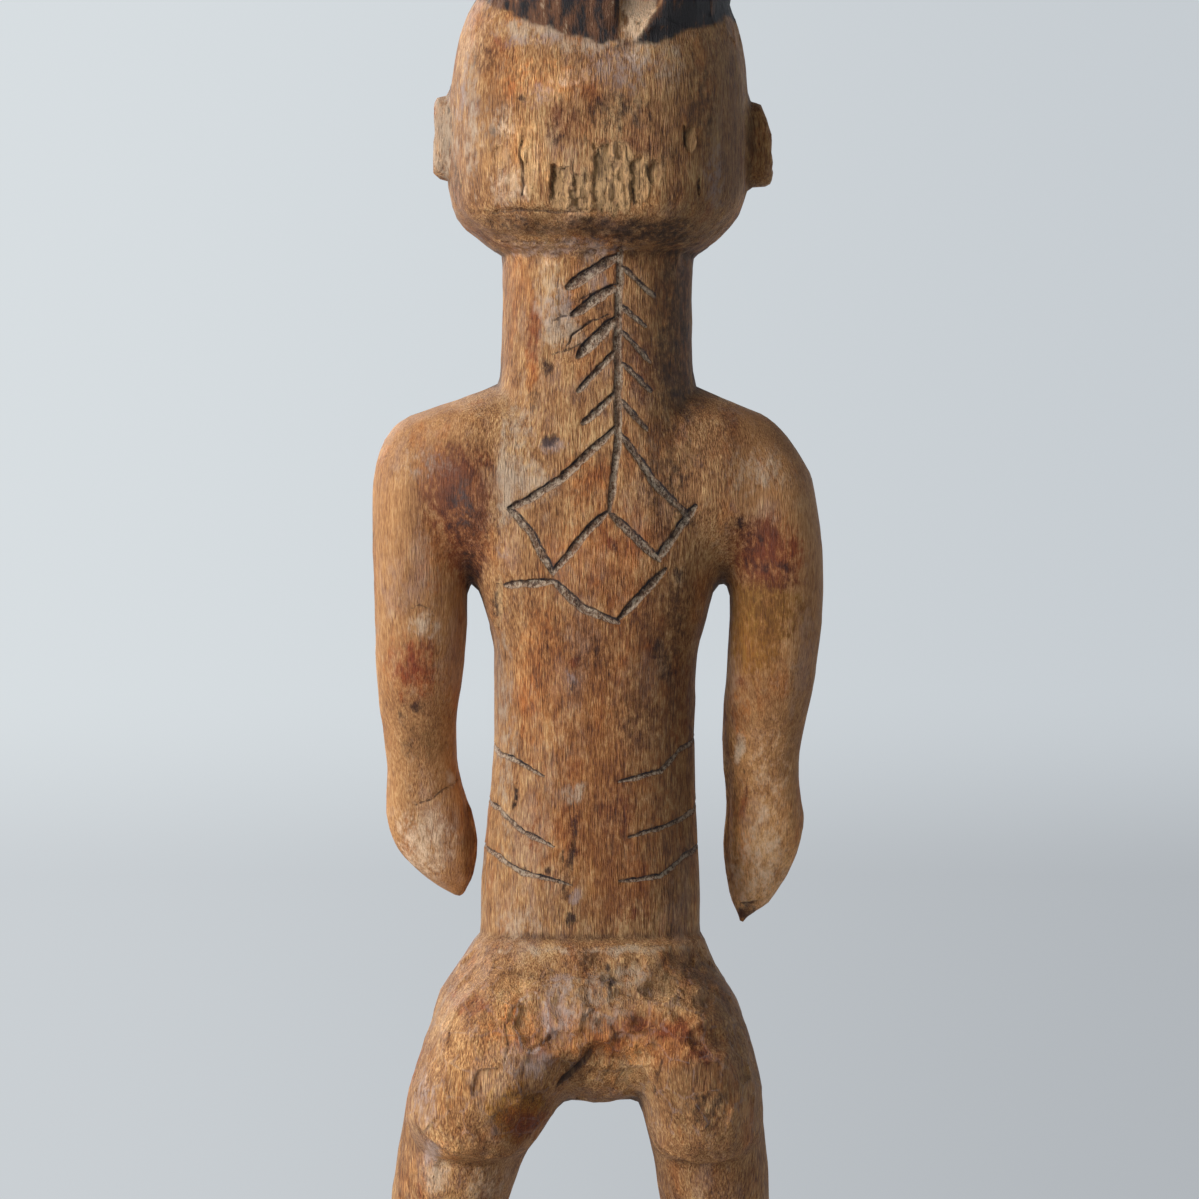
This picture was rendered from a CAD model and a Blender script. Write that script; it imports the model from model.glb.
import math

import bmesh
import bpy
import numpy as np
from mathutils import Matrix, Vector


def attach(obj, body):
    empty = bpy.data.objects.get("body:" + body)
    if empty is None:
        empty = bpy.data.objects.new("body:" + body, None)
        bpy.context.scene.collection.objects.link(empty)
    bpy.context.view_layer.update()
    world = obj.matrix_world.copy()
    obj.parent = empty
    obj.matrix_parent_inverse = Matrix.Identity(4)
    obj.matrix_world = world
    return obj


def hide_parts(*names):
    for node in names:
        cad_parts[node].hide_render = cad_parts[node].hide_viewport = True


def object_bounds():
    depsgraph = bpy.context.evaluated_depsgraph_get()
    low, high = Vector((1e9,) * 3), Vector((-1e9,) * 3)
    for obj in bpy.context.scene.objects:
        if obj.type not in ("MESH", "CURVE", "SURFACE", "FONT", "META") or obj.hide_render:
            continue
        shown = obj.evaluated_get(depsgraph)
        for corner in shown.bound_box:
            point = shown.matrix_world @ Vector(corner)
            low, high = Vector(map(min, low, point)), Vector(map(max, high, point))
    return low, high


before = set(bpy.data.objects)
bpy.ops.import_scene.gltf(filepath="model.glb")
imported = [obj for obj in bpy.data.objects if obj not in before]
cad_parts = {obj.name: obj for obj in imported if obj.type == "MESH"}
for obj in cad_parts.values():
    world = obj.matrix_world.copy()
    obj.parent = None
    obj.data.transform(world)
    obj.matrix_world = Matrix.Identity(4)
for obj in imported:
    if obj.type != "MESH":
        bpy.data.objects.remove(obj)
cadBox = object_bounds()
mm = 0.001


# Small helpers for arrays of points

def fade(value, start, end):  # 0 before start, 1 after end, smooth between
    part = np.clip((value - start) / (end - start), 0, 1)
    return part * part * (3 - 2 * part)


def band(value, low, high, soft):  # 1 between low and high, 0 further than soft outside
    return fade(value, low - soft, low) * fade(-value, -high - soft, -high)


def scrambled(cell, seed):  # an even random number from 0 to 1 for each whole-numbered cell
    key = cell[..., 0] * 73856093 ^ cell[..., 1] * 19349663 ^ cell[..., 2] * 83492791
    key = key ^ (seed * 2654435761 + 97)
    key = (key ^ (key >> 15)) * 2246822519 & 0xFFFFFFFF
    key = (key ^ (key >> 13)) * 3266489917 & 0xFFFFFFFF
    return ((key ^ (key >> 16)) & 0xFFFFFF) / 0xFFFFFF


def noise(points, size, seed):  # smooth noise from -1 to 1, its lumps of one size or of one along each axis
    place = points / np.array(size)
    cell = np.floor(place).astype(np.int64)
    part = place - cell
    part = part * part * (3 - 2 * part)
    total = np.zeros(len(points))
    for corner in np.ndindex(2, 2, 2):
        share = np.prod(np.where(corner, part, 1 - part), axis=1)
        total += share * scrambled(cell + np.array(corner), seed)
    return 2 * total - 1


def terraces(points, size, seed, steps):  # the same noise cut into level steps with crisp edges
    level = noise(points, size, seed) * steps
    return (np.floor(level) + fade(level - np.floor(level), 0.72, 1)) / steps


def facets(points, size, seed):  # tool marks: 1 on the ridges between them, distance from the middle, tilt
    place = points / np.array(size)
    cell = np.floor(place).astype(np.int64)
    nearest = np.full(len(points), 9.0)
    second = nearest.copy()
    tilt = np.zeros(len(points))
    for step in np.ndindex(3, 3, 3):
        there = cell + np.array(step) - 1
        chance = np.stack([scrambled(there, seed + i) for i in range(3)], axis=1) - 0.5
        offset = place - there - 0.5 - 0.8 * chance
        away = (offset ** 2).sum(axis=1)
        second = np.minimum(second, np.maximum(nearest, away))
        tilt = np.where(away < nearest, (offset * chance[:, ::-1]).sum(axis=1), tilt)
        nearest = np.minimum(nearest, away)
    return np.sqrt(nearest / np.maximum(second, 1e-6)), np.sqrt(nearest), tilt


def chiselled(points):  # the chisel marks, their edges a little bent
    return facets(points + 0.8 * noise(points, 5, 31)[:, None], (8, 9, 9), 28)


def distanceAlong(line, x, z):  # distance from a line of [x, z] corners, the share passed, height over it
    corners = np.array(line, float)
    lengths = np.hypot(*(corners[1:] - corners[:-1]).T)
    best = np.full(len(x), 1e3)
    passed = np.zeros(len(x))
    above = np.zeros(len(x))
    for i, length in enumerate(lengths):
        run = (corners[i + 1] - corners[i]) / length
        dx, dz = x - corners[i][0], z - corners[i][1]
        step = np.clip(dx * run[0] + dz * run[1], 0, length)
        away = np.hypot(dx - step * run[0], dz - step * run[1])
        nearer = away < best
        best = np.where(nearer, away, best)
        passed = np.where(nearer, (lengths[:i].sum() + step) / lengths.sum(), passed)
        above = np.where(nearer, dz - step * run[1], above)
    return best, passed, above


# The knife cuts on the neck and back, as [x, z] seen from behind: half width, depth and the lines

knifeCuts = {
    "spine": (1.35, 1.0, [[[-6.3, 418], [-5.7, 385], [-5.9, 357.5], [-3.1, 334.5]]]),
    "broadFeathers": (1.8, 1.2, [
        [[-5, 415.4], [10, 406]], [[-5, 406], [8.5, 397.4]], [[-5, 395.8], [6.9, 383.7]]]),
    "leftFeathers": (1.15, 0.9, [[[-5, 385.4], [6.9, 373]], [[-5, 372], [5.3, 362.5]]]),
    "rightFeathers": (0.85, 0.7, [
        [[-7, 412.3], [-17.3, 402.8]], [[-7, 400], [-14.7, 393.4]], [[-7, 391.8], [-16.3, 381.7]],
        [[-7, 381.7], [-16.3, 373]], [[-7, 369.8], [-15.4, 360.4]]]),
    "lozenges": (1.3, 0.95, [
        [[-5.5, 361.7], [11.3, 345.5], [22.3, 338.7], [28, 336.2]],
        [[-6.5, 359.5], [-16.7, 344.7], [-27.3, 333.6]], [[28.3, 336], [21.4, 327.9], [14.7, 315.4]],
        [[14.7, 315.4], [3.1, 329.5], [-2.6, 334.5]], [[-3.2, 334.2], [-11.6, 326.4], [-18.9, 319.6]],
        [[-18.9, 320.6], [-27.3, 332.7], [-30.2, 336.5]], [[14.7, 313], [29.9, 311.6]],
        [[14.5, 313], [5.3, 304.4], [-6.3, 299.8]], [[-6.3, 301], [-14.7, 310.3], [-20.7, 317]]]),
}
# The cuts round the flanks, as [degrees, z], turning from the back to the figure's left
flankCuts = {
    "halfWidth": 0.85, "depth": 0.65,
    "lines": [
        [[33, 251.5], [56, 257], [98, 262]], [[26, 229], [45, 233.5], [64, 241], [100, 245]],
        [[15, 217], [46, 221], [66, 227], [102, 230]], [[-18, 249.5], [-45, 253], [-60, 260], [-98, 264]],
        [[-24, 232], [-48, 235.5], [-100, 244]], [[-18, 218.5], [-45, 219.5], [-62, 226], [-102, 230]],
    ],
}
# Cracks and creases: half width, depth, darkness and the line as [x, z] seen from behind
cracks = [
    (0.5, 1.4, 0.9, [[25.8, 249.3], [26.6, 244], [27, 239.3]]),
    (0.35, 0.8, 0.7, [[11.2, 229.5], [11.6, 224]]),
    (0.3, 0.7, 0.6, [[8.2, 240], [7.6, 232], [8.4, 226], [8.6, 213]]),
    (0.4, 1, 0.7, [[24.1, 451.5], [24.8, 446], [23.8, 440], [24.3, 433]]),
    (0.35, 1, 0.6, [[15.4, 442.6], [15.1, 437], [14.6, 433.4]]),
    (0.25, 0.6, 0.45, [[15.2, 442], [12, 441.4], [9, 442.2]]),
    (0.3, 0.8, 0.6, [[7.9, 445.3], [8.4, 442], [8.1, 438]]),
    (0.3, 0.7, 0.5, [[0.6, 448.6], [-0.2, 444], [0.4, 437.4]]),
    (0.3, 0.9, 0.7, [[-14.4, 443.4], [-15.2, 437]]),
    (0.35, 0.9, 0.7, [[-10.2, 437.5], [-10.8, 433], [-10.4, 429.4]]),
    (0.35, 0.9, 0.7, [[-26.8, 455], [-26.5, 448.4]]), (0.3, 1, 0.8, [[-31.2, 439.6], [-31, 433.4]]),
    (0.28, 0.6, 0.65, [[41.8, 429.3], [33, 428.6], [24, 429.1], [12, 427.9], [2.9, 428.4]]),
    (0.25, 0.5, 0.45, [[36, 421.6], [22, 419.4], [12, 419.8], [-14, 418.6]]),
    (0.25, 0.6, 0.6, [[-46.4, 255.7], [-47, 247], [-46.4, 240], [-46.7, 233.6]]),
    (0.22, 0.5, 0.7, [[12.7, 412.5], [13, 403], [12.7, 396.2]]),
    (0.25, 0.4, 0.5, [[62.7, 299.2], [60.6, 303.4], [57, 305.6], [53.4, 303.6], [51.2, 299.2]]),
    (0.3, 0.8, 0.6, [[59.5, 241], [54.4, 243.2], [49.6, 246.4], [45.1, 249.3]]),
    (0.3, 0.7, 0.7, [[-5, 406.8], [7.9, 401.3]]),
    (0.35, 0.9, 0.9, [[11, 386.2], [8.9, 390.6], [2.5, 395], [-3.9, 397.4]]),
    (0.25, 0.7, 0.7, [[15.4, 394], [12.4, 396.6], [8.2, 396.9]]),
    (0.25, 0.7, 0.7, [[15.4, 384.9], [8.2, 386.5], [4.1, 389]]),
    (0.2, 0.5, 0.6, [[12.8, 401], [12.8, 392]]),
    (0.35, 0.5, 0.6, [[31.9, 315.4], [32.5, 306], [32.2, 298.1]]),
    (0.6, 0.7, 0.6, [[47.9, 464.5], [46.9, 457.5], [47.4, 448.8]]),
    (0.45, 1, 0.8, [[-44.8, 209.5], [-52, 209.6]]), (0.22, 0.3, 0.4, [[-12.8, 197.9], [-23.1, 198.4]]),
    (0.4, 0.5, 0.5, [[-3.4, 187.8], [-3, 183]]), (0.3, 0.5, 0.5, [[30, 178], [28.6, 168], [30, 158]]),
    (0.9, 1.1, 0.75, [[1.9, 166.5], [7, 161], [14, 154.3]]), (0.3, 0.4, 0.4, [[-1, 164], [4, 158]]),
    (0.3, 0.4, 0.4, [[-5, 163], [0, 155]]), (0.3, 0.4, 0.4, [[-8, 160], [-3.6, 152.6]]),
    (0.3, 0.5, 0.5, [[-20, 166], [-19, 160], [-17, 152]]),
]
# Chips split out of the wood: x, z, half width, half height, depth, 1 for a rough floor
chips = [
    (22, 440.5, 1.4, 8.6, 0.5, 0.3), (12.1, 435.4, 3.1, 6.4, 1.5, 1), (5.7, 434.7, 3.1, 5.9, 1.1, 1),
    (-4.4, 438.6, 6.2, 11, 1.2, 1), (-12.7, 437, 2.6, 7.4, 1.2, 1), (5.8, 430.8, 2.2, 1.8, 1.2, 0),
    (-17.6, 440.1, 2.4, 3.7, 1.4, 0.2), (-28.6, 451, 2, 4.1, 1.3, 0.2), (30.9, 445.5, 2.2, 4, 0.7, 0),
    (27.6, 437.6, 1.6, 3.2, 0.6, 0), (31.4, 306.7, 1, 8.2, 0.5, 0.7),
]
# Oval chisel scoops on the hips, the first with a pale rim: x, z, half width, half height and depth
scoops = [
    (21, 174.6, 5.2, 9, 1.2), (10.8, 180, 4.8, 6, 1), (11.4, 169.6, 4.2, 3.4, 0.8),
    (2, 184, 5, 4.4, 0.8), (-8, 182, 5.6, 3.4, 1),
    (-18, 184.5, 4.6, 4, 0.8), (-26, 179, 4.2, 4.6, 0.9), (-34, 169, 6, 5.8, 1.1),
    (-15, 175.6, 5.4, 2.8, 0.8), (-4, 173.8, 4.6, 3.4, 0.8), (-20, 168.4, 4.4, 3, 0.8),
]
# The lower edges of the buttocks, where they overhang the thighs
lips = [
    [[57.5, 143], [54, 139], [49, 135.4], [40.6, 132.4], [30, 131.6], [23.5, 135]],
    [[-17, 137], [-22, 133.4], [-31.5, 130.4], [-41, 132], [-46, 134.6], [-50.5, 140]],
]
# Lines of the face, as [x, z] of one half from the front: half width, depth (raised below 0), the line
faceLines = [
    (3.2, -1.6, [[5.5, 463.4], [11, 467.6], [18, 469.2], [25, 468], [31.5, 463.2]]),
    (2, 1, [[8, 461.2], [13, 464.2], [18.5, 465.2], [25, 464], [29.6, 460.4]]),
    (0.75, 1.7, [[9.6, 456.9], [14, 455.7], [18.5, 455.3], [23, 455.7], [27.6, 456.9]]),
    (1.4, 0.9, [[9.4, 453.4], [14, 450.2], [18.5, 449.4], [23.5, 450.4], [28, 453.4]]),
    (0.9, 1.4, [[8.6, 448.4], [10.2, 444.6], [9.2, 440.8]]),
    (1.3, 2, [[3.2, 440.4], [5, 440.6]]),
    (1.1, 0.6, [[0, 439.8], [0, 437.6]]),
    (2, -1.2, [[0, 435.4], [4, 436], [8.6, 434.8]]),
    (0.7, 2, [[0, 432.8], [4, 432.5], [9, 432.9], [13.4, 433.9]]),
    (2.2, -1.3, [[0, 429.9], [8, 430.6]]),
    (1.6, 1, [[0, 426.6], [5, 426.9], [9.5, 428.2]]),
    *[(0.7, 1.2, [[x, 447], [x + 3, 436]]) for x in (21, 26, 31)],
]
eyelids = {"at": (18.5, 456.6), "halfWidth": 9.8, "halfHeight": 5, "raised": 1.7}
# The same for the rest of the front, not mirrored: navel, fingers, knees and the base of the neck
frontLines = [
    (2.4, 1.3, [[0.4, 264], [0.6, 262.5]]), (1.6, -0.6, [[-3.4, 262], [0.5, 258.6], [4.4, 262]]),
    *[(0.6, 0.8, [[low, 219], [high, 232]]) for low, high in ((44.2, 50), (47, 54), (49.8, 58))],
    *[(0.6, 0.8, [[low, 213], [high, 228]]) for low, high in ((-51.8, -56), (-49, -52), (-46.2, -48))],
    (1.2, 0.6, [[36, 78], [41, 73.6], [50, 73.2], [56, 77]]), (1.2, 0.6, [[38, 97], [46, 100], [55, 97]]),
    (1.2, 0.6, [[-49, 77], [-43, 73.2], [-35, 73.6], [-30, 78]]),
    (1.2, 0.6, [[-48, 97], [-40, 100], [-31, 97]]),
    (1.1, 0.7, [[-15, 352], [-8, 344.6], [0, 342], [8, 344.6], [15, 352]]),
]
toeGaps = [-46, -39.5, -33, 39.5, 46, 52.5]  # x between the toes


# The carved body: a fine skin grown over the solid, rounded, and cut again with a sharper knife

carving = {
    "voxel": 0.8, "quickVoxel": 1.5,  # millimetres between two points of the skin
    "rounds": 90,  # how far the flat faces of the solid are rounded off
    "closing": 60,  # how far the solid's own cuts are smoothed away first
    "quickShare": 0.35,
    "facetDepth": 0.34, "waveDepth": 0.3, "fibreDepth": 0.08, "chiselDepth": 1.25, "flakeDepth": 1.5,
    "raggedness": 0.24, "burr": 0.14,  # how far the edges of a cut wander and stand up
    "triangles": 196000,
    "shares": (0.79, 0.35, 0.14, 0.01),  # how readily the plain to the finest parts give up triangles
}


class Skin:  # the points, normals and edges of a mesh, in millimetres
    def __init__(self, mesh):
        self.mesh = mesh
        self.read()

    def read(self):
        count = len(self.mesh.vertices)
        flat = np.empty(count * 3)
        self.mesh.vertices.foreach_get("co", flat)
        self.points = flat.reshape(-1, 3) / mm
        self.mesh.vertex_normals.foreach_get("vector", flat)
        self.normals = flat.reshape(-1, 3)
        ends = np.empty(len(self.mesh.edges) * 2, np.int64)
        self.mesh.edges.foreach_get("vertices", ends)
        self.ends = ends.reshape(-1, 2)
        self.degree = np.bincount(ends, minlength=count).clip(1)[:, None]

    def write(self):
        self.mesh.vertices.foreach_set("co", (self.points * mm).ravel())
        self.mesh.update()
        self.read()

    def averaged(self, values):  # each point takes the mean of its neighbours
        first, second = self.ends.T
        size = len(values)
        sums = [
            np.bincount(first, column[second], size) + np.bincount(second, column[first], size)
            for column in values.reshape(size, -1).T
        ]
        return (np.stack(sums, axis=1) / self.degree).reshape(values.shape)

    def relax(self, share, rounds):
        for _ in range(rounds):
            self.points += share[:, None] * (self.averaged(self.points) - self.points)

    def fromBehind(self):  # how squarely each point faces the back, 0 to 1
        return fade(self.normals[:, 1], 0.05, 0.35)


def placed(name, data):  # a new object in the scene
    made = bpy.data.objects.new(name, data)
    bpy.context.scene.collection.objects.link(made)
    return made


def modified(mesh, kind, settings, group=None):  # a mesh after one modifier
    holder = placed("holder", mesh)
    if group is not None:
        weights = holder.vertex_groups.new(name="share")
        for level in np.unique(group):
            weights.add(np.flatnonzero(group == level).tolist(), float(level), "REPLACE")
    modifier = holder.modifiers.new("step", kind)
    for name, value in settings.items():
        setattr(modifier, name, value)
    result = bpy.data.meshes.new_from_object(holder.evaluated_get(bpy.context.evaluated_depsgraph_get()))
    bpy.data.objects.remove(holder)
    bpy.data.meshes.remove(mesh)
    return result


def triangles(mesh):
    mesh.calc_loop_triangles()
    return len(mesh.loop_triangles)


def grownSkin():
    form = bmesh.new()
    form.from_mesh(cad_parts["carved_figure"].data)
    bmesh.ops.remove_doubles(form, verts=form.verts, dist=0.01 * mm)
    mesh = bpy.data.meshes.new("carvedWood")
    form.to_mesh(mesh)
    form.free()
    voxel = carving["voxel"]
    return modified(mesh, "REMESH", {"mode": "VOXEL", "voxel_size": voxel * mm})


def sharpParts(points):  # 1 where the solid's own edges are kept: face, ears, hairline, hands, feet and base
    x, y, z = points.T
    face = band(z, 424, 474, 3) * fade(-y, 35, 39)
    ears = fade(np.abs(x), 46.5, 48.5) * band(z, 436, 472, 3)
    hair = fade(z, 474, 480)
    hands = band(z, 200, 238, 4) * fade(-y, 12, 16)
    feet = fade(-z, -34, -28)
    waist = band(z, 191, 203, 2)
    jaw = np.maximum(0.94 * band(z, 412, 427, 3), 0.985 * band(z, 412, 419, 2))
    neck = band(z, 364, 378, 4) * fade(-np.abs(x - 1), -44, -38)
    lips = band(z, 126, 144, 3) * fade(y, 12, 18) * 0.88
    shares = [face * 0.96, ears * 0.93, hair * 0.86, hands * 0.8, feet * 0.95, waist * 0.96, jaw,
              neck * 0.93, lips]
    return np.max(shares, axis=0)


def cutReach(points, facing):  # how far the nearest knife cut is in half widths, its depth, side and width
    x, _, z = points.T
    wander = carving["raggedness"]
    ragged = wander * noise(points, 1.3, 11) + wander * noise(points, 4, 12)
    x = x + 0.3 * noise(points, 6, 13)
    z = z + 0.3 * noise(points, 6, 10)
    reach = np.full(len(points), 9.0)
    depth = np.zeros(len(points))
    side = np.zeros(len(points))
    width = np.ones(len(points))

    def nearest(line, across, halfWidth, cutDepth, slimming, power, share):
        away, passed, above = distanceAlong(line, across, z)
        slim = 1 - slimming * np.abs(2 * passed - 1) ** power
        here = (away + ragged) / (halfWidth * slim) + 9 * (1 - share)
        closer = here < reach
        depth[closer] = cutDepth
        side[closer] = np.clip(above[closer] / halfWidth, -1, 1)
        width[closer] = (halfWidth * slim)[closer]
        reach[closer] = here[closer]

    for halfWidth, cutDepth, lines in knifeCuts.values():
        for line in lines:
            nearest(line, x, halfWidth, cutDepth, 0.45, 5, facing)
    onTrunk = band(z, 205, 275, 2) * fade(-np.abs(x), -40, -37.5)
    scale = 0.6  # millimetres for a degree round the trunk
    turn = np.degrees(np.arctan2(points[:, 0] - 2, points[:, 1] + 1)) * scale
    for line in flankCuts["lines"]:
        onSheet = [[degrees * scale, height] for degrees, height in line]
        nearest(onSheet, turn, flankCuts["halfWidth"], flankCuts["depth"], 0.6, 3, onTrunk)
    return np.clip(reach, 0, 4), depth, side, width


def crackReach(points, facing):  # the same for the cracks and creases, with how dark they are
    x, _, z = points.T
    ragged = 0.16 * noise(points, (0.9, 0.9, 1.6), 14)
    x = x + 0.5 * noise(points, (3, 3, 3.6), 19) + 0.2 * noise(points, (1.2, 1.2, 1.4), 18)
    z = z + 0.5 * noise(points, (3.6, 3, 3), 20)
    reach = np.full(len(points), 9.0)
    depth = np.zeros(len(points))
    tone = np.zeros(len(points))
    for halfWidth, crackDepth, darkness, line in cracks:
        away, passed, _ = distanceAlong(line, x, z)
        slim = 1 - 0.7 * np.abs(2 * passed - 1) ** 3
        here = (away + ragged) / (halfWidth * slim) + 9 * (1 - facing)
        closer = here < reach
        depth[closer] = crackDepth
        tone[closer] = darkness
        reach[closer] = here[closer]
    return np.clip(reach, 0, 4), depth, tone


def chipShape(points, facing):  # how deep the chips go, how raw the wood is there, and the cracks in it
    x, _, z = points.T
    ragged = 0.8 * noise(points, (2, 2, 3.4), 15) + 0.5 * noise(points, (0.9, 0.9, 1.4), 17)
    fibres = noise(points, (0.9, 0.9, 5), 81)
    split = fade(-np.abs(noise(points, (1.3, 1.3, 7), 82)), -0.15, -0.03)
    torn = 0.5 * split + 0.4 * fibres + 0.6 * noise(points, (2.2, 2.2, 3.6), 16)
    depth = np.zeros(len(points))
    raw = np.zeros(len(points))
    gaps = np.zeros(len(points))
    for middleX, middleZ, halfWidth, halfHeight, chipDepth, rough in chips:
        across = (x - middleX + rough * ragged) / halfWidth  # the split edge is on the +X side
        up = (z - middleZ + rough * 1.6 * ragged) / halfHeight
        squared = fade(-(np.abs(across) ** 3.5 + np.abs(up) ** 3.5), -1.35, -0.85)
        oval = fade(-np.hypot(across, up), -1.08, -0.92)
        inside = (squared if rough > 0.5 else oval) * facing
        slope = 0.5 + 0.5 * np.clip(across, -1, 1) + 0.25 * np.clip(up, -1, 1)
        rim = inside * (1 - inside) * (1 - 0.6 * np.clip(across, 0, 1))
        depth += inside * (chipDepth * slope + rough * torn) - 0.9 * rim
        raw = np.maximum(raw, inside * (0.35 + 0.65 * rough))
        gaps = np.maximum(gaps, inside * rough * split)
    return depth, raw, gaps


def scoopShape(points, facing):  # the depth of the scoops, and the reach of the rimmed one
    x, _, z = points.T
    ragged = 0.8 * noise(points, 5, 83) + 0.4 * noise(points, 1.8, 84)
    depth = np.zeros(len(points))
    nearest = np.full(len(points), 2.0)
    for i, (middleX, middleZ, halfWidth, halfHeight, scoopDepth) in enumerate(scoops):
        reach = np.hypot((x - middleX + ragged) / halfWidth, (z - middleZ + ragged) / halfHeight)
        slope = 0.75 + 0.25 * (x - middleX) / halfWidth
        here = scoopDepth * np.clip(1.7 * (1 - reach ** 2.4), 0, 1) * slope * facing
        depth = np.maximum(depth, here)
        if i == 0:
            nearest = np.minimum(nearest, reach + 2 * (1 - facing))
    return depth, np.clip(nearest, 0, 2)


def frontDepth(skin):  # the carving of the face, of the rest of the front and between the toes
    x, y, z = skin.points.T
    ahead = fade(-skin.normals[:, 1], 0.02, 0.3)
    front = ahead * fade(-y, 34, 38)
    depth = np.zeros(len(x))
    for halfWidth, cutDepth, line in faceLines:  # those that start in the middle taper at one end only
        away, passed, _ = distanceAlong(line, np.abs(x), z)
        slim = 1 - 0.6 * np.abs(2 * passed - 1) ** 4
        slim = np.where(passed < 0.5, 1, slim) if line[0][0] == 0 else slim
        depth += cutDepth * front * np.clip(1 - (away / (halfWidth * slim)) ** 2, 0, 1)
    middleX, middleZ = eyelids["at"]
    lid = np.hypot((np.abs(x) - middleX) / eyelids["halfWidth"], (z - middleZ) / eyelids["halfHeight"])
    depth -= eyelids["raised"] * front * np.clip(1 - lid ** 2, 0, 1)
    wavering = x + 0.3 * noise(skin.points, 5, 73)
    for halfWidth, cutDepth, line in frontLines:
        away, _, _ = distanceAlong(line, wavering, z)
        depth += cutDepth * ahead * np.clip(1 - (away / halfWidth) ** 2, 0, 1)
    toes = fade(-y, 24, 28) * band(z, 15.5, 30, 0.6)
    for gap in toeGaps:
        depth += 1.1 * toes * np.clip(1 - (np.abs(x - gap) / 0.8) ** 2, 0, 1)
    return depth


def handBevels(points, facing):  # the inner plane of each hand, cut flat beside a straight edge
    x, _, z = points.T
    leftEdge = 46 - 0.075 * (250.6 - z)
    left = band(z, 212, 249, 3) * fade(x, 36, 38) * np.clip(leftEdge - x, 0, 6)
    rightEdge = -45.8 - 0.04 * (255 - z)
    right = band(z, 214, 254, 4) * fade(-x, 37, 39) * np.clip(x - rightEdge, 0, 6)
    return 0.22 * facing * (left + 0.8 * right)


def lipShape(points, facing):  # the step where a buttock overhangs the thigh
    x, _, z = points.T
    wavy = 0.6 * noise(points, 6, 85)
    out = np.zeros(len(points))
    for line in lips:
        away, passed, above = distanceAlong(line, x, z + wavy)
        ends = fade(passed, 0, 0.12) * fade(-passed, -1, -0.88)
        out += np.exp(-away / 6) * ends * (3 * fade(above, -0.6, 0.6) - 1.7) * facing
    return out


def carved(skin):
    points, normals = skin.points, skin.normals
    x, y, z = points.T
    facing = skin.fromBehind()
    trunk = band(z, 190, 420, 10)
    head = band(z, 418, 482, 6)
    hips = band(z, 142, 192, 6)
    legs = band(z, 14, 142, 6)
    hair = fade(z, 478, 486)
    base = fade(-z, -16, -13)
    face = head * fade(-y, 34, 40)
    out = np.zeros(len(points))

    # Long soft knife facets along the wood, and rounder chisel marks on the hips, hair and legs
    _, longMarks, _ = facets(points, (9, 9, 46), 21)
    _, shortMarks, shortTilt = facets(points, (8.5, 9, 12), 25)
    _, chiselMarks, chiselTilt = chiselled(points)
    depth = carving["facetDepth"]
    out += depth * (longMarks ** 2 - 0.4) * (1 - 0.35 * trunk) * (1 - hair) * (1 - hips) * (1 - face)
    plain = (1 - facing) * band(z, 150, 410, 8)  # the front is worked with shorter strokes
    short = 0.25 * head * (1 - face) + 0.8 * legs + 0.7 * base + 0.8 * plain
    out += depth * 1.2 * (shortMarks ** 2 - 0.45 + 1.5 * shortTilt) * short
    chisel = 0.6 * hips * (0.4 + 0.6 * facing) + 0.4 * hair
    out += carving["chiselDepth"] * (chiselMarks ** 2 - 0.5 + 1.6 * chiselTilt) * chisel

    out += carving["waveDepth"] * noise(points, (17, 17, 30), 41) * (1 - 0.6 * base) * (1 - face)
    out += 0.12 * noise(points, (5, 5, 12), 42) * (1 - 0.6 * face)
    out += carving["fibreDepth"] * noise(points, (1.1, 1.1, 9), 43)
    rough = 0.6 * band(z, 184, 197, 3) * facing + 0.9 * band(z, 413, 426, 2)
    rough += 0.9 * fade(np.abs(x), 43, 46) * band(z, 436, 472, 2)
    out += rough * (0.3 * noise(points, (2.4, 2.4, 1.8), 44) + 0.14 * noise(points, 1.2, 45))
    out -= frontDepth(skin) + handBevels(points, facing)
    out += lipShape(points, facing)

    # Flakes broken out of the upper hips, and a rough ledge under the chips of the head
    flaked = band(z, 164, 196, 3) * band(x, -42, 16, 5) + 0.12 * band(z, 140, 164, 4)
    flaked += 0.5 * band(z, 416, 429, 2) + 0.6 * band(z, 382, 402, 2) * band(x, 4, 17, 2)
    flaked = np.clip(flaked, 0, 1) * facing
    out += carving["flakeDepth"] * terraces(points, (8, 8, 5), 86, 2.5) * flaked

    # The cuts, with a slight burr thrown up beside them
    reach, cutDepth, side, _ = cutReach(points, facing)
    out -= cutDepth * np.clip(1.15 - 1.15 * reach ** 3.5, 0, 1) * (0.72 + 0.42 * side)
    out += carving["burr"] * np.exp(-((reach - 1.25) / 0.22) ** 2) * (1 + noise(points, 2, 46))
    reach, crackDepth, _ = crackReach(points, facing)
    out -= crackDepth * np.clip(1 - reach ** 1.5, 0, 1)
    out -= chipShape(points, facing)[0] + scoopShape(points, facing)[0]

    edge = np.minimum(np.abs(z), 1)  # the underside stays flat
    return points + normals * (out * edge)[:, None]


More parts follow.
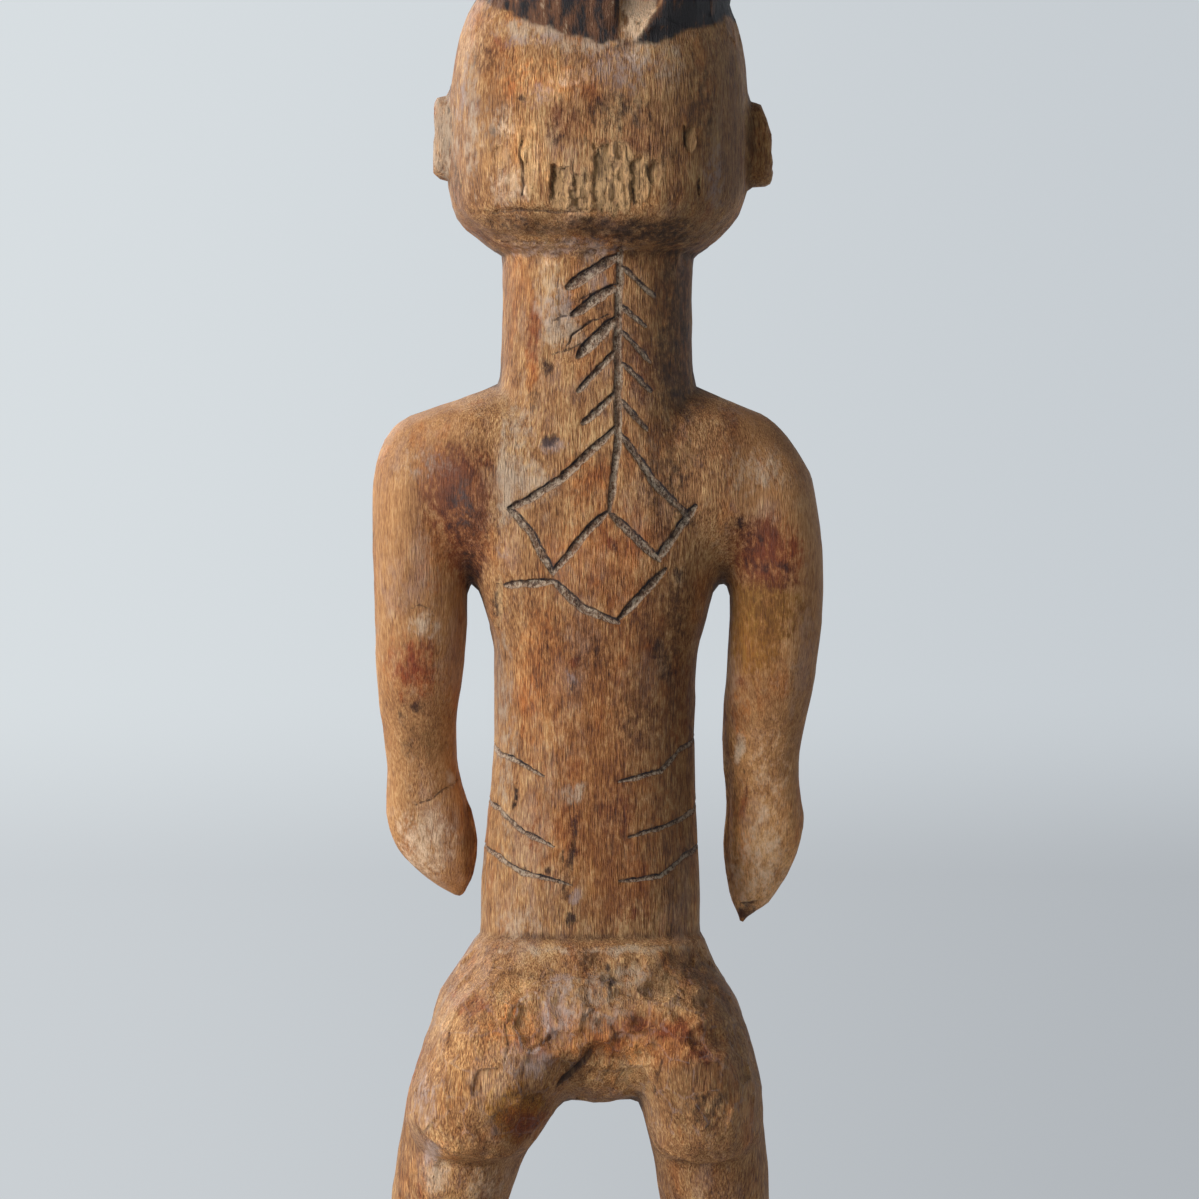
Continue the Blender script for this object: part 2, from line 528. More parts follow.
def detailLevel(skin):  # 3 where the carving is finest, 0 where it is plain
    facing = skin.fromBehind()
    reach = cutReach(skin.points, facing)[0]
    x, y, z = skin.points.T
    scars = band(z, 426, 458, 2) * band(x, -34, 34, 2) * facing
    torn = band(z, 383, 397, 1) * band(x, 3, 16, 1) * facing
    hairline = band(z, 478, 493, 2) * facing
    rough = np.maximum(band(z, 128, 195, 2), band(z, 411, 426, 1)) * facing
    face = band(z, 425, 471, 1) * fade(-y, 36, 40) * fade(-np.abs(x), -38, -35)
    finest = (reach < 1.9) | (scars > 0.5) | (torn > 0.5)
    fine = (hairline > 0.5) | (face > 0.5) | (rough > 0.5) | (np.abs(frontDepth(skin)) > 0.03)
    return np.select([finest, fine, (facing > 0.5) & (z > 115)], [3, 2, 1], 0)


def refined(mesh, chosen):  # halves every edge inside the chosen zone
    form = bmesh.new()
    form.from_mesh(mesh)
    form.verts.ensure_lookup_table()
    edges = [edge for edge in form.edges if chosen[edge.verts[0].index] and chosen[edge.verts[1].index]]
    bmesh.ops.subdivide_edges(form, edges=edges, cuts=1, use_grid_fill=True)
    form.to_mesh(mesh)
    form.free()


def rounded(skin, share, rounds):  # rounds the skin off, then gives back the width that this takes
    before = skin.points.copy()
    skin.relax(share, rounds)
    lost = before - skin.points
    for _ in range(rounds):
        lost = skin.averaged(lost)
    skin.points += lost * share[:, None]


def carvedMesh():
    skin = Skin(grownSkin())
    print("skin grown:", len(skin.points), "points")
    soft = 1 - sharpParts(skin.points)
    steps = 1
    rounded(skin, soft * 0.9, int(carving["rounds"] * steps))
    skin.relax(0.2 + 0.3 * soft, 2)
    skin.write()
    reach = cutReach(skin.points, skin.fromBehind())[0]
    skin.relax(fade(-reach, -3, -2.2) * 0.95, int(carving["closing"] * steps))
    skin.write()
    refined(skin.mesh, detailLevel(skin) > 1)
    skin.read()
    skin.relax(0.5 * (detailLevel(skin) > 1), 3)
    skin.write()
    print("skin rounded:", len(skin.points), "points")
    skin.points = carved(skin)
    low, high = [np.array(corner) / mm for corner in cadBox]
    skin.points = np.clip(skin.points, low, high)
    skin.write()
    found = triangles(skin.mesh)
    print("skin carved:", found, "triangles")
    if found <= carving["triangles"]:
        return skin.mesh
    share = np.array(carving["shares"])[detailLevel(skin)]
    settings = {"ratio": carving["triangles"] / found, "vertex_group": "share", "vertex_group_factor": 2}
    skin = Skin(modified(skin.mesh, "DECIMATE", settings, share))
    skin.points = np.clip(skin.points, low, high)
    skin.write()
    return skin.mesh


# What the shader is told about each point

# Stains by kind, in the order they are laid on: x, z, half width, half height and strength, seen from behind
stains = {
    "umber": [
        (46, 354, 14, 6, 0.4), (46, 338, 13, 20, 0.7), (56, 262, 8, 7, 0.6), (42, 231, 2.6, 17, 1),
        (-51, 322, 11, 14, 0.9), (-53, 306, 11, 12, 0.7), (27, 396, 5, 20, 0.25), (-22, 385, 12, 44, 1),
        (-8, 268, 24, 62, 0.7), (-6, 209, 22, 10, 0.7), (30, 262, 7, 60, 0.35), (-22, 262, 14, 60, 0.7),
        (0, 232, 18, 22, 0.6), (-14, 187, 24, 7, 0.5), (-36, 165, 12, 28, 0.6), (-24, 153, 12, 12, 0.6),
        (44, 152, 10, 12, 0.4), (-34, 122, 10, 10, 0.2), (-30, 456, 16, 34, 0.9), (-20, 421, 20, 7, 0.6),
        (50, 456, 6, 16, 0.3), (4, 458, 14, 8, 0.45), (-10, 468, 16, 12, 0.3), (-34, 440, 10, 16, 0.8),
        (38, 470, 8, 14, 0.5), (-51, 450, 7, 22, 0.9), (-28, 478, 12, 6, 0.7), (-42, 462, 8, 26, 0.7),
    ],
    "rust": [
        (46, 352, 14, 7, 0.4), (51, 326, 7, 14, 0.6), (59, 285, 10, 13, 0.6), (-54, 322, 12, 12, 0.9),
        (-45, 270, 3, 9, 0.6), (22, 380, 2.4, 7, 0.9), (8, 322, 10, 9, 0.6), (4, 345, 9, 8, 0.5),
        (-14, 328, 8, 8, 0.5), (-4, 285, 26, 60, 0.6), (20, 280, 9, 26, 0.5), (2, 262, 12, 30, 0.5),
        (-5, 212, 11, 10, 0.6), (0, 232, 22, 24, 0.7), (18, 142, 5, 4, 1), (14, 172, 22, 10, 0.8),
        (-18, 170, 22, 9, 0.9), (24, 143, 8, 6, 1), (33, 474, 7, 14, 0.5), (4, 466, 10, 6, 0.5),
        (16, 470, 12, 8, 0.4),
    ],
    "ochre": [
        (-53, 306, 12, 9, 1), (-49, 297, 10, 16, 0.9), (25, 147, 11, 9, 1), (24, 146, 9, 9, 1),
    ],
    "red": [
        (46, 343, 12, 13, 1), (43, 330, 8, 15, 0.9), (41, 322, 6, 12, 0.9), (59, 285, 8, 11, 0.65),
        (-50, 326, 9, 9, 0.9), (-54, 318, 13, 10, 0.75), (-63, 325, 3, 7, 0.6), (-46, 281, 3, 2.5, 0.6),
        (-46.6, 243, 1, 11, 0.7), (-58, 225, 4, 3, 0.3), (20.8, 391, 3, 13, 0.8), (-14, 378, 6, 12, 0.5),
        (-4.8, 325, 1.6, 3, 0.9), (31, 300, 2.4, 4, 0.5), (-26, 270, 6, 30, 0.3), (8.2, 286.5, 2, 2, 0.9),
        (-6, 240, 7, 10, 0.35), (8.6, 233, 3, 8, 0.5), (22, 232, 5, 8, 0.3), (-10, 208, 7, 6, 0.4),
        (-22, 172, 9, 4, 0.7), (-8, 175, 7, 3, 0.6), (-33, 165, 6, 4, 0.6), (40, 180, 8, 4, 0.6),
        (24, 142.5, 4.6, 3.6, 1), (57, 118, 2, 6, 0.6), (39, 462, 2.6, 3, 0.8), (31, 482, 5, 3, 0.5),
        (12, 457, 7, 6, 0.5), (-10, 449, 12, 3, 0.5), (24, 468, 8, 5, 0.25),
    ],
    "pale": [
        (56, 350, 12, 8, 0.25), (56, 299, 5, 4, 0.5), (47.5, 250, 2.2, 2.2, 1), (56, 229, 10, 13, 0.7),
        (-50, 348, 12, 9, 0.35), (-51, 221, 12, 16, 0.4), (-45, 259.5, 1.3, 3.6, 1),
        (-54, 250, 8, 22, 0.25), (16, 405, 6, 12, 0.5), (12, 392, 7, 7, 0.7), (23, 344, 10, 7, 0.6),
        (30, 343, 2.6, 15, 0.9), (26, 362, 6, 12, 0.5), (30, 262, 4, 44, 0.35), (8, 246, 6, 4, 0.5),
        (25, 205, 9, 6, 0.4), (2, 197, 36, 1.4, 0.6), (4, 180, 16, 10, 0.4), (-10, 189, 12, 4, 0.4),
        (52, 124, 5, 6, 0.6), (36, 122, 8, 8, 0.4), (50.5, 456, 6, 16, 0.9), (31, 456, 7, 9, 0.4),
        (-22, 474, 6, 9, 0.3), (8, 470, 10, 3, 0.4), (-12, 497, 6, 20, 1), (28, 436, 8, 8, 0.5),
        (40, 456, 3, 24, 0.5), (17, 486, 17, 3.6, 0.7), (3, 480.6, 12, 3, 0.6), (-13, 496, 4.6, 20, 1),
    ],
    "lilac": [
        (43, 337, 4, 10, 0.25), (14, 355.6, 5, 3, 0.9), (13, 399, 6, 8, 0.4), (1, 410, 4, 9, 0.5),
        (30, 322, 3, 4, 0.3), (9, 281, 3, 3, 0.35), (14, 284, 6, 8, 0.15), (8, 213, 1.8, 3, 0.8),
        (14, 177, 7, 10, 0.6), (19, 163, 5, 5, 0.6), (26, 163, 5, 6, 0.5), (12, 188, 6, 2, 0.5),
        (55, 150, 4, 10, 0.5), (53, 132, 2.6, 5, 0.8), (-6, 474, 12, 9, 0.5), (18, 464, 6, 4, 0.4),
        (-36, 440, 4, 12, 0.4), (22, 482, 10, 3, 0.5), (43, 468, 2.2, 12, 0.5), (12, 418, 26, 2.4, 0.5),
    ],
    "honey": [
        (62, 335, 8, 30, 0.1), (58, 228, 10, 14, 0.4), (-52, 218, 9, 13, 1), (-50, 226, 12, 18, 1),
        (-48, 245, 9, 20, 0.6), (-55, 224, 10, 22, 1), (-53, 255, 9, 20, 0.6), (34, 172, 16, 26, 0.6),
        (42, 150, 14, 20, 0.7), (48, 124, 14, 12, 0.9), (-1, 156, 12, 8, 0.4), (-11, 160, 2.4, 10, 0.8),
        (14, 418, 26, 5, 0.6), (24, 446, 12, 16, 0.6), (18, 468, 13, 8, 0.8), (-12, 497, 6, 20, 1),
        (3, 427.4, 7, 1.6, 0.8), (-14, 432, 5, 5, 0.6),
    ],
    "dark": [
        (40, 318, 5, 8, 0.6), (44, 335, 6, 12, 0.5), (58.6, 273, 3.4, 2, 0.7), (62.5, 270, 1.6, 5, 0.4),
        (61, 257.6, 1.6, 1.6, 0.5), (-48, 326, 5, 6, 0.5), (-52, 318, 7, 2.4, 0.5), (-45, 331, 3, 2, 0.6),
        (-60, 316, 3, 5, 0.4), (-48, 206.6, 3.4, 3, 0.8), (17.3, 379.7, 2, 2.4, 1), (15.2, 357, 3, 3, 1),
        (19, 351.5, 2, 1.4, 0.5), (20.5, 370, 2, 4, 0.45), (2, 400, 6, 3, 0.45), (0, 413, 4, 2, 0.6),
        (-24, 390, 7, 36, 0.5), (-5.4, 324.4, 1, 2, 0.7), (-28, 333, 2.6, 3, 0.8),
        (-24.8, 315, 3, 2.4, 0.7), (-20, 340, 10, 14, 0.35), (33.4, 306, 1.2, 9, 0.6),
        (-12, 305, 8, 5, 0.3), (-24, 300, 5, 24, 0.3), (17, 292, 2, 7, 0.4), (9.4, 280, 1.6, 2, 0.7),
        (-17.8, 291, 1.8, 4, 0.8), (-21, 286, 2, 5, 0.55), (-12, 268, 9, 12, 0.35), (2, 292, 8, 9, 0.25),
        (9.4, 227, 1.3, 4, 0.9), (8, 234, 2, 7, 0.45), (9, 206, 2, 2.6, 1), (15.5, 222, 1.6, 1.4, 0.9),
        (24, 222, 1, 1.4, 0.8), (11, 219, 1.6, 7, 0.6), (-30, 228, 5, 3, 0.4), (22, 190, 10, 2, 0.35),
        (24, 152, 6, 3, 0.35), (8, 158, 4, 5, 0.5), (-3, 187, 1.8, 2, 0.9), (-1.6, 191.6, 1.6, 1.4, 0.8),
        (-34, 149, 7, 9, 0.45), (25, 463, 2, 1, 0.8), (14, 452, 3, 5, 0.4), (-8, 458, 12, 6, 0.4),
        (-20, 446, 8, 5, 0.3), (14, 424.5, 24, 2.4, 0.45), (-4, 422, 12, 4, 0.5), (-18, 423, 13, 4, 0.6),
        (33, 426, 6, 2, 0.3), (20, 459, 9, 6, 0.15), (-2, 462, 10, 7, 0.25), (37, 478, 4, 6, 0.35),
        (4, 450, 7, 3, 0.25), (-32, 462, 6, 18, 0.35), (34, 452, 3, 6, 0.35), (-6, 479, 5, 1.6, 0.5),
        (45, 440, 1.8, 8, 0.5),
    ],
}
# Stains where the photograph doesn't reach: seed, kind, size in millimetres and strength
hiddenStains = [(61, "red", 22, 0.6), (63, "ochre", 28, 0.6), (65, "dark", 18, 0.4), (66, "umber", 30, 0.7),
                (67, "pale", 24, 0.5), (69, "rust", 20, 0.8), (70, "lilac", 14, 0.4)]


def stainAmounts(points, facing):
    x, y, z = points.T
    across = x + 1.5 * noise(points, 5, 51) + 0.5 * noise(points, (1.6, 1.6, 2.4), 54)
    up = z + 1.5 * noise(points, 5, 53) + 0.5 * noise(points, (1.6, 1.6, 2.4), 56)
    amounts = {}
    for kind, marks in stains.items():
        clear = np.ones(len(points))
        for middleX, middleZ, halfWidth, halfHeight, strength in marks:
            away = np.hypot((across - middleX) / halfWidth, (up - middleZ) / halfHeight)
            clear *= 1 - strength * fade(-away, -1.45, -0.3) * facing
        amounts[kind] = 1 - clear
    # The sides that the photograph doesn't show carry the same kinds of stain
    hidden = (1 - facing) * fade(-z, -482, -476)
    hidden *= 1 - 0.8 * band(z, 424, 474, 4) * fade(-y, 34, 40)
    amounts["umber"] = np.maximum(amounts["umber"], 0.4 * hidden)
    for seed, kind, size, most in hiddenStains:
        patch = fade(noise(points, (size, size, size * 1.5), seed), 0.2, 0.75) * hidden * most
        amounts[kind] = np.maximum(amounts[kind], patch)
    return amounts


def hairAmounts(points):  # how burnt the wood is above the hairline, and how far that is worn off
    x, y, z = points.T
    behind = 480.5 + 0.0082 * (x + 6) ** 2 - 1.3 * band(x, -22, -8, 3)
    line = behind + (485 - behind) * fade(-y, -18, 14)
    ragged = 1.5 * noise(points, 4, 71) + 0.8 * noise(points, 1.4, 72)
    above = fade(z + ragged, line, line + 1.6)
    channel = band(x, -19.6, -6.4, 0.4) * fade(y, 20, 26) * fade(-z, -526, -520)
    channel *= fade(x + 11 + (z - 481.5) * 0.66, -1, 0.2) * fade(z, 480.6, 482.2)
    arris = np.exp(-((x + 9.5 + (z - 480) * 0.64) / 3.5) ** 2) * fade(-z, -506, -490)
    worn = 0.28 + 0.5 * band(x, -5, 34, 6) * fade(-z, -512, -494) + 0.6 * arris
    worn = (worn - 0.35 * fade(-x, 16, 26)) * fade(y, -12, 12)
    return above * (1 - 0.95 * channel), np.clip(worn, 0, 1)


def paint(mesh):
    skin = Skin(mesh)
    facing = skin.fromBehind()
    points = skin.points
    x, y, z = points.T
    values = stainAmounts(points, facing)
    values["cutReach"], _, side, width = cutReach(points, facing)
    values["cutSide"] = 0.5 + 0.5 * side
    values["cutEdge"] = (values["cutReach"] - 1) * width  # millimetres outside the edge of a cut
    values["crackReach"], _, values["crackTone"] = crackReach(points, facing)
    _, values["raw"], values["gaps"] = chipShape(points, facing)
    _, values["scoop"] = scoopShape(points, facing)
    values["ridge"] = chiselled(points)[0] * band(z, 140, 192, 5)
    values["burnt"], values["worn"] = hairAmounts(points)
    flat = skin.averaged(skin.averaged(points)) - points
    hollow = (flat * skin.normals).sum(axis=1)
    for _ in range(3):
        hollow = skin.averaged(hollow)
    values["hollow"] = np.clip(0.5 + hollow * 2.2, 0, 1)  # 1 in creases, 0 on edges
    calmArms = fade(np.abs(x), 39, 46) * band(z, 205, 368, 8)
    calmFace = fade(-y, 34, 40) * band(z, 424, 476, 4)
    values["calm"] = calmArms + calmFace
    values["crease"] = np.clip(frontDepth(skin) / 1.4, 0, 1)
    for name, amount in values.items():
        attribute = mesh.attributes.new(name, "FLOAT", "POINT")
        attribute.data.foreach_set("value", amount.astype(np.float32))


# Shader maths

class Shade:  # a node's output that can be used in sums
    def __init__(self, tree, socket=None):
        self.tree = tree
        self.socket = socket

    def node(self, kind, settings, sockets, output=0):
        made = self.tree.nodes.new(kind)
        for name, value in settings.items():
            setattr(made, name, value)
        for name, value in sockets.items():
            if isinstance(value, Shade):
                self.tree.links.new(value.socket, made.inputs[name])
            else:
                made.inputs[name].default_value = value
        return Shade(self.tree, made.outputs[output])

    def maths(self, operation, first, second):
        return self.node("ShaderNodeMath", {"operation": operation}, {0: first, 1: second})

    def __add__(self, other):
        return self.maths("ADD", self, other)

    __radd__ = __add__

    def __sub__(self, other):
        return self.maths("SUBTRACT", self, other)

    def __rsub__(self, other):
        return self.maths("SUBTRACT", other, self)

    def __mul__(self, other):
        return self.maths("MULTIPLY", self, other)

    __rmul__ = __mul__

    def between(self, start, end):  # 0 before start, 1 after end, smooth between
        settings = {"interpolation_type": "SMOOTHSTEP"}
        return self.node("ShaderNodeMapRange", settings, {"Value": self, "From Min": start, "From Max": end})

    def ramp(self, stops):  # the colour that stands at this value
        ramp = self.node("ShaderNodeValToRGB", {}, {"Fac": self})
        elements = ramp.socket.node.color_ramp.elements
        for position, _ in stops[1:-1]:
            elements.new(position)
        for element, (position, color) in zip(elements, stops):
            element.position = position
            element.color = (*color, 1)
        return ramp

    def blend(self, under, over, kind="MIX"):  # this value's share of the colour over, on the colour under
        colors = [c if isinstance(c, Shade) else (*c, 1) for c in (under, over)]
        settings = {"data_type": "RGBA", "blend_type": kind}
        return self.node("ShaderNodeMix", settings, {0: self, 6: colors[0], 7: colors[1]}, output=2)

    def glaze(self, under, tint):  # this value's share of a tint, multiplied into the colour under
        return self.blend(under, tint, "MULTIPLY")

    def attribute(self, name):
        return self.node("ShaderNodeAttribute", {"attribute_name": name}, {}, output="Fac")

    def lumps(self, size, stretch, detail, roughness):  # noise with lumps of a size in millimetres
        place = self.node("ShaderNodeVectorMath", {"operation": "MULTIPLY"},
                          {0: self, 1: (1, 1, 1 / stretch)})
        sockets = {"Vector": place, "Scale": 1000 / size, "Detail": detail, "Roughness": roughness}
        return self.node("ShaderNodeTexNoise", {}, sockets)


woodFinish = {
    "contrast": {"grain": 1.15, "strand": 0.58, "patch": 0.7, "broad": 0.55}, "middle": 0.53,
    "palette": [(0.14, (0.055, 0.022, 0.01)), (0.37, (0.215, 0.085, 0.03)),
                (0.56, (0.43, 0.205, 0.075)), (0.8, (0.71, 0.44, 0.205))],
    # Glazes that tint the wood
    "umber": (0.62, 0.6, 0.54), "rust": (1, 0.74, 0.52), "ochre": (0.7, 0.58, 0.24),
    "red": (0.58, 0.34, 0.25), "honey": (1.5, 1.5, 1.45), "dark": (0.17, 0.145, 0.17),
    "bruise": (0.58, 0.48, 0.48), "groove": (0.42, 0.36, 0.36),
    # Colours that lie over it
    "pale": (0.64, 0.49, 0.35), "lilac": (0.44, 0.33, 0.295), "rawWood": (0.74, 0.46, 0.22),
    "fill": (0.56, 0.45, 0.33), "edge": (0.02, 0.014, 0.016), "rim": (0.62, 0.5, 0.45),
    "soot": (0.014, 0.012, 0.014), "scorched": (0.16, 0.066, 0.03), "scuff": (0.4, 0.27, 0.17),
    "bump": 1.0, "bumpDepth": 0.7, "roughness": 0.62, "specular": 0.35,
}


def newMaterial(name):  # a material, the start of its node tree and the place on the object
    material = bpy.data.materials.new(name)
    material.use_nodes = True
    start = Shade(material.node_tree)
    return material, start, start.node("ShaderNodeTexCoord", {}, {}, output="Object")


def woodMaterial():
    look = woodFinish
    material, start, place = newMaterial("carvedWood")
    tree = start.tree
    shader = tree.nodes["Principled BSDF"]

    grain = place.lumps(0.4, 8, 3, 0.65)
    strand = place.lumps(0.95, 15, 5, 0.68)
    patch = place.lumps(6.5, 1.7, 8, 0.68)
    broad = place.lumps(26, 1.8, 4, 0.6)
    calm = start.attribute("calm")
    much = look["contrast"]
    value = much["grain"] * (grain - 0.5) + much["strand"] * (strand - 0.5)
    value = value + much["patch"] * (patch - 0.5) + much["broad"] * (broad - 0.5)
    value = look["middle"] + value * (1 - 0.45 * calm)
    color = value.ramp(look["palette"])
    bruise = place.lumps(9, 1.5, 7, 0.7).between(0.53, 0.64)
    color = (bruise * 0.35).glaze(color, look["bruise"])
    warm = place.lumps(11, 2.4, 7, 0.68).between(0.52, 0.66)
    color = (warm * 0.7).glaze(color, look["rust"])
    haze = place.lumps(15, 2.2, 7, 0.7).between(0.5, 0.66)
    color = (haze * 0.22).blend(color, look["lilac"])
    dusty = place.lumps(4.5, 1.7, 8, 0.74).between(0.53, 0.68)
    color = (dusty * 0.22).blend(color, look["pale"])

    # Dirt in the creases, wear on the edges
    color = (start.attribute("crease") * 0.65).glaze(color, look["dark"])
    hollow = start.attribute("hollow")
    color = (hollow.between(0.53, 0.85) * 0.7).glaze(color, look["dark"])
    color = ((1 - hollow).between(0.54, 0.85) * 0.5).glaze(color, look["honey"])

    # The stains, broken up, then the scoops, ridges and bare chips
    broken = place.lumps(2.4, 1.7, 8, 0.74)
    for name in stains:
        amount = start.attribute(name)
        share = (amount + 3.2 * (broken - 0.5)).between(0.05, 1) * amount.between(0, 0.3)
        if name in ("pale", "lilac"):
            color = (share * 0.7).blend(color, look[name])
        else:
            color = share.glaze(color, look[name])
    scoop = start.attribute("scoop")
    rim = scoop.between(0.86, 0.97) * (1 - scoop.between(1.02, 1.12)) * broken.between(0.46, 0.57)
    color = (rim * 0.6).blend(color, look["rim"])
    ridge = start.attribute("ridge").between(0.86, 0.97) * broken.between(0.45, 0.55)
    color = (ridge * 0.3).blend(color, look["lilac"])
    under = scoop.between(1.0, 1.1) * (1 - scoop.between(1.14, 1.3)) * broken.between(0.4, 0.55)
    color = (under * 0.5).glaze(color, look["red"])
    raw = start.attribute("raw") * (0.45 + 0.55 * strand.between(0.35, 0.55))
    color = (raw * 0.75).blend(color, look["rawWood"])
    color = (start.attribute("gaps") * 0.7).glaze(color, look["dark"])

    # The cuts: a dull groove with pale filling in places, black edges
    reach = start.attribute("cutReach")
    cutEdge = start.attribute("cutEdge")
    mottle = place.lumps(0.8, 1.6, 6, 0.78).between(0.42, 0.56)
    bare = place.lumps(4.5, 1, 5, 0.7).between(0.47, 0.56)
    upper = start.attribute("cutSide").between(0.38, 0.72)  # the wall that hangs over the cut
    color = ((1 - reach.between(0.85, 1.1)) * 0.8).glaze(color, look["groove"])
    floor = 1 - reach.between(0.6, 0.95)
    filled = floor * (0.15 + 0.85 * mottle) * (0.25 + 0.75 * bare)
    color = (filled * 0.85).blend(color, look["fill"])
    lit = cutEdge.between(-0.9, -0.5) * (1 - cutEdge.between(-0.15, 0.1)) * (1 - upper) * mottle
    color = (lit * 0.7).blend(color, look["pale"])
    black = floor * (1 - bare) * (1 - mottle) * (0.4 + 0.6 * upper)
    color = (black * 0.8).blend(color, look["edge"])
    edge = cutEdge.between(-0.6, -0.3) * (1 - cutEdge.between(0.02, 0.3)) * (0.2 + 0.8 * upper)
    color = (edge * (0.35 + 0.65 * broken.between(0.42, 0.52))).blend(color, look["edge"])
    crack = (1 - start.attribute("crackReach").between(0.7, 1.7)) * start.attribute("crackTone")
    color = (crack * 0.9).blend(color, look["edge"])

    # The burnt hair, rubbed brown in streaks
    streak = place.lumps(3.6, 3.4, 9, 0.7)
    worn = streak + 0.16 * start.attribute("worn")
    char = worn.between(0.52, 0.7).blend(look["soot"], look["scorched"])
    char = worn.between(0.69, 0.78).blend(char, look["scuff"])
    color = start.attribute("burnt").blend(color, char)
    fleck = ((0.5 - grain) * 1.8 + (0.5 - strand) * 1.2).between(0, 0.6)
    color = (fleck * 0.42).glaze(color, look["bruise"])

    tree.links.new(color.socket, shader.inputs["Base Color"])
    rough = look["roughness"] - 0.2 * (broad - 0.5) + 0.14 * dusty - 0.14 * start.attribute("red")
    tree.links.new(rough.socket, shader.inputs["Roughness"])
    shader.inputs["Specular IOR Level"].default_value = look["specular"]
    splinters = place.lumps(0.8, 5, 4, 0.7)
    height = grain * 1.1 + strand + patch * 0.4 + broken
    height = height * (1 - 0.5 * calm) + splinters * start.attribute("raw") * 2.0
    sockets = {"Strength": look["bump"], "Distance": look["bumpDepth"] * mm, "Height": height}
    bump = start.node("ShaderNodeBump", {}, sockets)
    tree.links.new(bump.socket, shader.inputs["Normal"])
    return material


def carvedFigure():
    mesh = carvedMesh()
    paint(mesh)
    mesh.materials.clear()
    mesh.materials.append(woodMaterial())
    mesh.shade_smooth()
    figure = placed("carvedWood", mesh)
    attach(figure, "root")
    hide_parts("carved_figure")
    print("figure carved:", triangles(mesh), "triangles")


# The studio: a round floor that curves up into a pale wall, and soft lights

studio = {
    "floorRadius": 4, "curve": 1.4, "wallTop": 5, "turns": 96,
    "leftWall": (0.69, 0.735, 0.762), "rightWall": (0.56, 0.6, 0.635),
    "leftFloor": (0.546, 0.575, 0.605), "rightFloor": (0.36, 0.38, 0.405), "matt": (0.72, 0.74, 0.76),
    "bounced": (0.42, 0.43, 0.44),
    "key": {"at": (1.92, 1.12, 1.05), "size": 1.5, "power": 68.5, "color": (1, 0.98, 0.96)},
    "fill": {"at": (-0.6, 2.6, 0.9), "size": 1.6, "power": 3.5, "color": (0.93, 0.96, 1)},
    "rim": {"at": (-2.4, -1.5, 0.8), "size": 1.2, "power": 5, "color": (0.9, 0.93, 1)},
    "front": {"at": (1.35, -1.95, 1.6), "size": 1.1, "power": 42, "color": (1, 0.98, 0.95)},
    "middle": (0, 0, 0.28), "world": (0.6, 0.62, 0.66), "worldStrength": 0.16,
}


def backdrop():
    form = bmesh.new()
    radius, curve = studio["floorRadius"], studio["curve"]
    angles = [math.radians(degrees) for degrees in range(0, 91, 10)]
    bend = [(radius + curve * math.sin(angle), curve - curve * math.cos(angle)) for angle in angles]
    outline = [(0.02, 0), (1, 0), *bend, (radius + curve, studio["wallTop"])]
    corners = [form.verts.new((r, 0, z)) for r, z in outline]
    edges = [form.edges.new(pair) for pair in zip(corners, corners[1:])]
    bmesh.ops.spin(form, geom=corners + edges, axis=(0, 0, 1), cent=(0, 0, 0),
                   angle=2 * math.pi, steps=studio["turns"], use_merge=True)
    bmesh.ops.holes_fill(form, edges=[e for e in form.edges if e.is_boundary and e.calc_length() < 0.01])
    bmesh.ops.recalc_face_normals(form, faces=form.faces)
    mesh = bpy.data.meshes.new("backdrop")
    form.to_mesh(mesh)
    form.free()
    mesh.shade_smooth()
    mesh.materials.append(backdropMaterial())
    sheet = placed("backdrop", mesh)


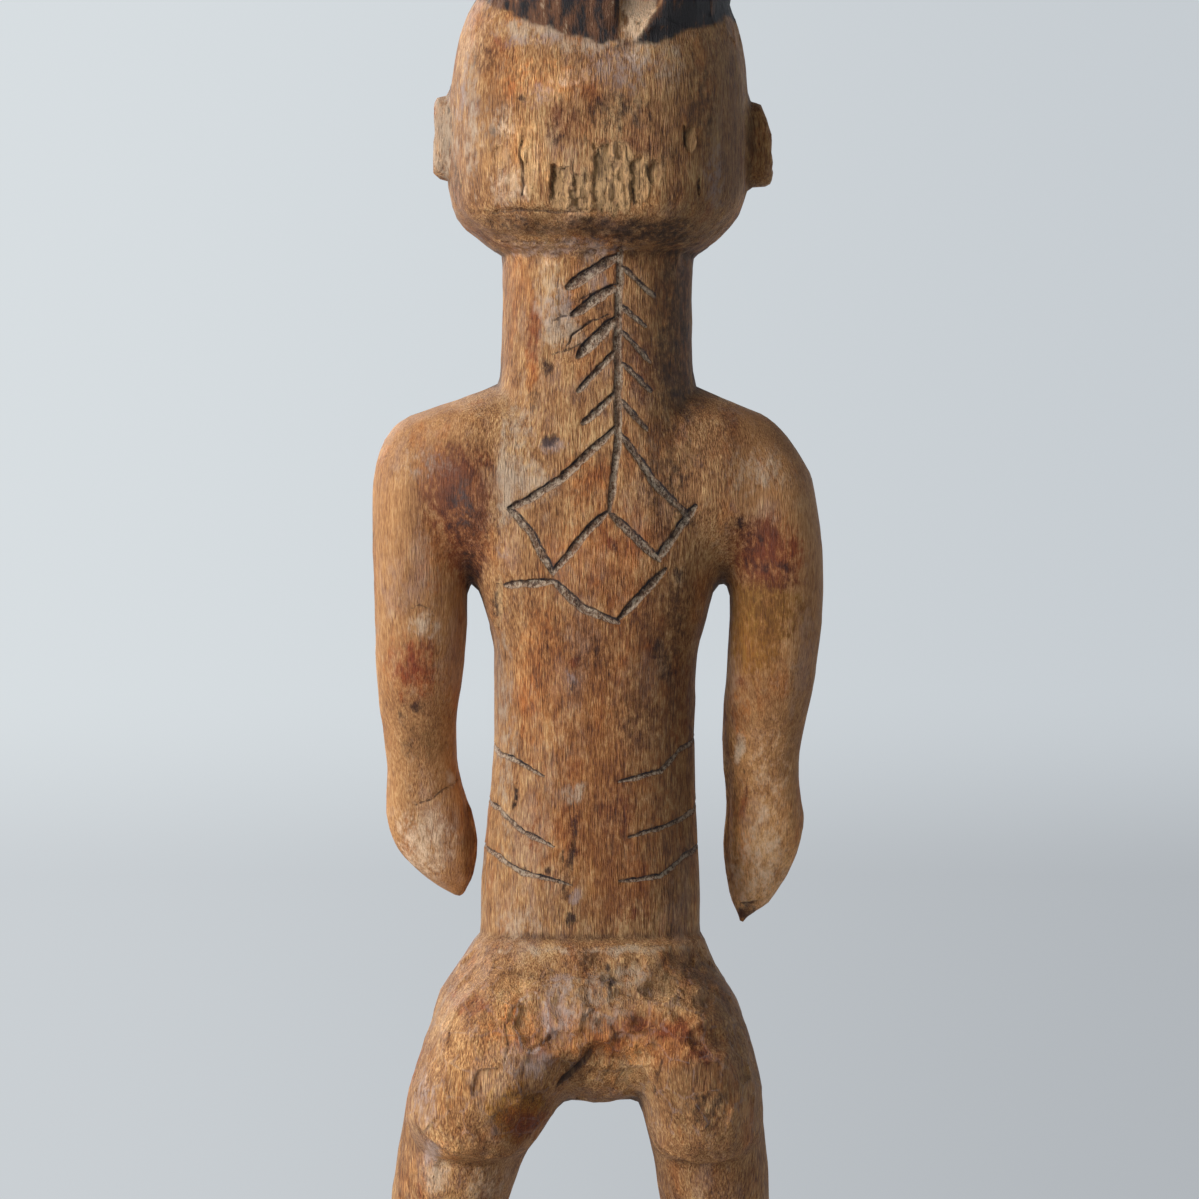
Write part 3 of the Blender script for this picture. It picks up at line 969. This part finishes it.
def backdropMaterial():  # a plain matt sheet with a glow of its own, weaker close to the figure
    material, start, place = newMaterial("backdrop")
    tree = start.tree
    tree.nodes.remove(tree.nodes["Principled BSDF"])
    x, y, z = [start.node("ShaderNodeSeparateXYZ", {}, {"Vector": place}, output=i) for i in range(3)]
    away = start.maths("POWER", x * x + y * y, 0.5)
    side = start.maths("DIVIDE", x, away + 1.6).between(-0.16, 0.16)
    wall = side.blend(studio["rightWall"], studio["leftWall"])
    floor = side.blend(studio["rightFloor"], studio["leftFloor"])
    tone = z.between(-0.14, 0.2).blend(floor, wall)
    share = 0.5 + 0.5 * away.between(0.2, 0.9)
    glowing = start.node("ShaderNodeEmission", {}, {"Color": tone, "Strength": 1.0})
    matt = start.node("ShaderNodeBsdfDiffuse", {}, {"Color": (*studio["matt"], 1)})
    quiet = start.node("ShaderNodeBsdfDiffuse", {}, {"Color": (*studio["bounced"], 1)})
    shown = start.node("ShaderNodeMixShader", {}, {0: share, 1: matt, 2: glowing})
    diffuseRay = start.node("ShaderNodeLightPath", {}, {}, output="Is Diffuse Ray")
    both = start.node("ShaderNodeMixShader", {}, {0: diffuseRay, 1: shown, 2: quiet})
    tree.links.new(both.socket, tree.nodes["Material Output"].inputs["Surface"])
    return material


def softLight(name):
    look = studio[name]
    light = bpy.data.lights.new(name, "AREA")
    light.shape = "SQUARE"
    light.size = look["size"]
    light.energy = look["power"]
    light.color = look["color"]
    lamp = placed(name, light)
    lamp.location = look["at"]
    lamp.rotation_euler = (Vector(studio["middle"]) - lamp.location).to_track_quat("-Z", "Y").to_euler()
    lamp.visible_camera = False


def studioLight():
    for name in ("key", "fill", "rim", "front"):
        softLight(name)
    world = bpy.data.worlds.new("studio")
    world.use_nodes = True
    background = world.node_tree.nodes["Background"]
    background.inputs["Color"].default_value = (*studio["world"], 1)
    background.inputs["Strength"].default_value = studio["worldStrength"]
    bpy.context.scene.world = world
    bpy.context.scene.view_settings.view_transform = "Standard"


# The camera looks level at the figure's back, with the hips at the foot of the picture

view = {"at": (0, 1.6, 0.3072), "lens": 150, "sensor": 36}


def camera():
    lens = bpy.data.cameras.new("camera")
    lens.lens = view["lens"]
    lens.sensor_width = view["sensor"]
    eye = placed("camera", lens)
    eye.location = view["at"]
    eye.rotation_euler = (math.radians(90), 0, math.radians(180))
    bpy.context.scene.camera = eye


carvedFigure()
backdrop()
studioLight()
camera()
print("studio set")
